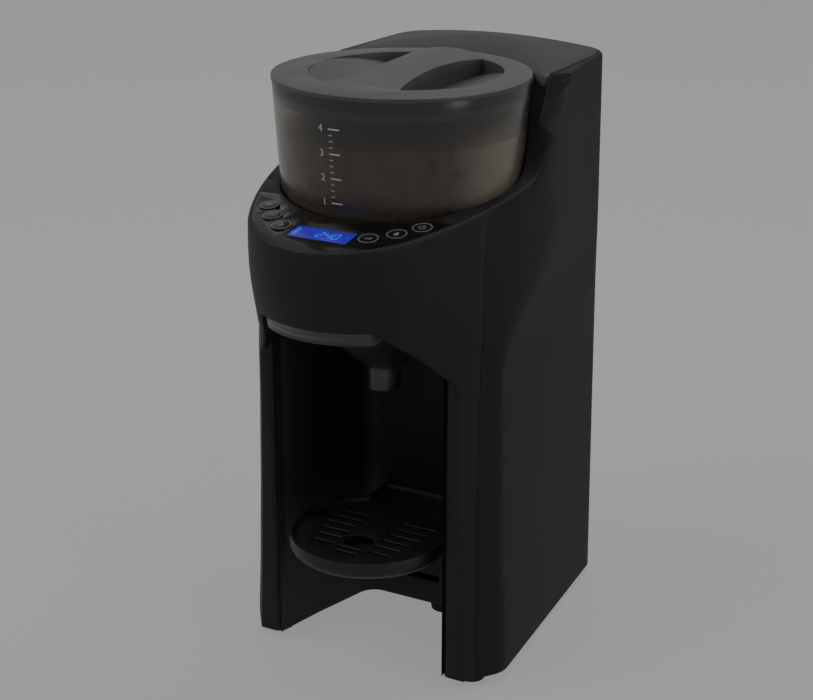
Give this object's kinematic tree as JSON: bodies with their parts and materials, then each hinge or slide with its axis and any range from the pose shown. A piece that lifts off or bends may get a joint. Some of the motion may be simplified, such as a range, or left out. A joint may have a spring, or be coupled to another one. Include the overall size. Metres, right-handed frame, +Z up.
{
  "type": "baby formula maker",
  "caption": "Countertop machine that doses powder and warm water through a funnel into a bottle, with lift-off container and tank, slide-out funnel and bottle tray.",
  "frame": {"origin": "centre of the footprint on the surface that the feet stand on", "axes": "+Z up, front of the machine towards -Y, +X to the right seen from the front"},
  "size_m": [0.1838, 0.2624, 0.3812],
  "materials": {
    "housing": "soft-touch satin black",
    "side_shell": "soft-touch satin charcoal",
    "base": "moulded black plastic",
    "rubber": "matt black rubber",
    "panel_gloss": "high gloss black",
    "display": "blue backlit display",
    "circuit_board": "green solder mask",
    "switch": "black switch bodies",
    "metal": "plated steel",
    "bearing": "sintered bronze",
    "gear_plastic": "natural acetal",
    "supply": "coated metal case",
    "motor_can": "zinc plated can",
    "heater_metal": "cast aluminium",
    "pump_plastic": "grey moulded plastic",
    "tube_silicone": "milky silicone",
    "smoky_clear": "smoky clear plastic",
    "dosing_plastic": "light grey moulded plastic",
    "powder": "cream milk powder",
    "lid_plastic": "satin dark grey",
    "funnel_clear": "smoky translucent plastic",
    "tray_plastic": "satin black",
    "button_gloss": "gloss black with a light ring"
  },
  "bodies": {
    "machine": {"front_housing": "housing", "rear_housing": "side_shell", "base_plate": "base", "rubber_feet": "rubber", "bay_liner": "housing", "middle_shelf": "base", "tank_shelf": "base", "hopper_well": "base", "powder_chute": "base", "spindle_bush": "bearing", "panel_overlay": "panel_gloss", "lcd_display": "display", "control_board": "circuit_board", "tact_switches": "switch", "main_board": "circuit_board", "board_standoffs": "metal", "power_supply": "supply", "gear_motor": "motor_can", "motor_bracket": "base", "water_heater": "heater_metal", "heater_bracket": "base", "water_pump": "pump_plastic", "suction_tube": "tube_silicone", "feed_tube": "tube_silicone", "hot_tube": "tube_silicone", "water_spout": "tube_silicone", "tank_socket": "base", "port_seal": "rubber", "level_sensor": "supply", "power_inlet": "base", "inlet_pins": "metal", "frame_posts": "metal", "housing_screws": "metal"},
    "drive_train": {"drive_gear": "gear_plastic", "drive_shaft": "metal"},
    "motor_drive": {"drive_pinion": "gear_plastic", "motor_shaft": "metal"},
    "powder_container": {"powder_container": "smoky_clear", "dosing_cover": "dosing_plastic", "powder_charge": "powder"},
    "dosing_drive": {"dosing_wheel": "dosing_plastic", "stirrer": "dosing_plastic"},
    "powder_lid": {"powder_lid": "lid_plastic", "lid_seal": "rubber"},
    "water_tank": {"water_tank": "smoky_clear"},
    "tank_lid": {"tank_lid": "lid_plastic"},
    "tank_valve": {"tank_valve": "pump_plastic"},
    "funnel": {"funnel": "funnel_clear", "funnel_cover": "funnel_clear"},
    "bottle_tray": {"drip_tray": "tray_plastic"},
    "tray_grille": {"tray_grille": "tray_plastic"},
    "button_1": {"button_1": "button_gloss"},
    "button_2": {"button_2": "button_gloss"},
    "button_3": {"button_3": "button_gloss"},
    "button_4": {"button_4": "button_gloss"},
    "button_5": {"button_5": "button_gloss"},
    "button_6": {"button_6": "button_gloss"}
  },
  "joints": [
    {"name": "drive_spin", "type": "hinge", "parent": "machine", "child": "drive_train", "pos_m": [0, -0.0115, 0.2695], "axis": [0, 0, 1], "continuous": true},
    {"name": "pinion_spin", "type": "hinge", "parent": "machine", "child": "motor_drive", "pos_m": [0, 0.0305, 0.2695], "axis": [0, 0, 1], "continuous": true},
    {"name": "container_lift", "type": "slide", "parent": "machine", "child": "powder_container", "axis": [0, 0, 1], "range_m": [0, 0.12]},
    {"name": "dosing_spin", "type": "hinge", "parent": "powder_container", "child": "dosing_drive", "pos_m": [0, -0.0115, 0.293], "axis": [0, 0, 1], "continuous": true},
    {"name": "lid_lift", "type": "slide", "parent": "powder_container", "child": "powder_lid", "axis": [0, 0, 1], "range_m": [0, 0.06]},
    {"name": "tank_lift", "type": "slide", "parent": "machine", "child": "water_tank", "axis": [0, 0, 1], "range_m": [0, 0.2]},
    {"name": "tank_lid_lift", "type": "slide", "parent": "water_tank", "child": "tank_lid", "axis": [0, 0, 1], "range_m": [0, 0.06]},
    {"name": "tank_valve_travel", "type": "slide", "parent": "water_tank", "child": "tank_valve", "axis": [0, 0, 1], "range_m": [0, 0.003], "stiffness_N_per_m": 200},
    {"name": "funnel_slide", "type": "slide", "parent": "machine", "child": "funnel", "axis": [0, -1, 0], "range_m": [0, 0.13]},
    {"name": "tray_pull", "type": "slide", "parent": "machine", "child": "bottle_tray", "axis": [0, -1, 0], "range_m": [0, 0.06]},
    {"name": "grille_lift", "type": "slide", "parent": "bottle_tray", "child": "tray_grille", "axis": [0, 0, 1], "range_m": [0, 0.03]},
    {"name": "button_1_press", "type": "slide", "parent": "machine", "child": "button_1", "axis": [0, 0.1582, -0.9874], "range_m": [0, 0.0008], "stiffness_N_per_m": 900},
    {"name": "button_2_press", "type": "slide", "parent": "machine", "child": "button_2", "axis": [0, 0.1582, -0.9874], "range_m": [0, 0.0008], "stiffness_N_per_m": 900},
    {"name": "button_3_press", "type": "slide", "parent": "machine", "child": "button_3", "axis": [0, 0.1582, -0.9874], "range_m": [0, 0.0008], "stiffness_N_per_m": 900},
    {"name": "button_4_press", "type": "slide", "parent": "machine", "child": "button_4", "axis": [0, 0.1582, -0.9874], "range_m": [0, 0.0008], "stiffness_N_per_m": 900},
    {"name": "button_5_press", "type": "slide", "parent": "machine", "child": "button_5", "axis": [0, 0.1582, -0.9874], "range_m": [0, 0.0008], "stiffness_N_per_m": 900},
    {"name": "button_6_press", "type": "slide", "parent": "machine", "child": "button_6", "axis": [0, 0.1582, -0.9874], "range_m": [0, 0.0008], "stiffness_N_per_m": 900}
  ],
  "couplings": [
    {"joint": "dosing_spin", "follows": "drive_spin", "ratio": 1},
    {"joint": "pinion_spin", "follows": "drive_spin", "ratio": -1.8}
  ]
}
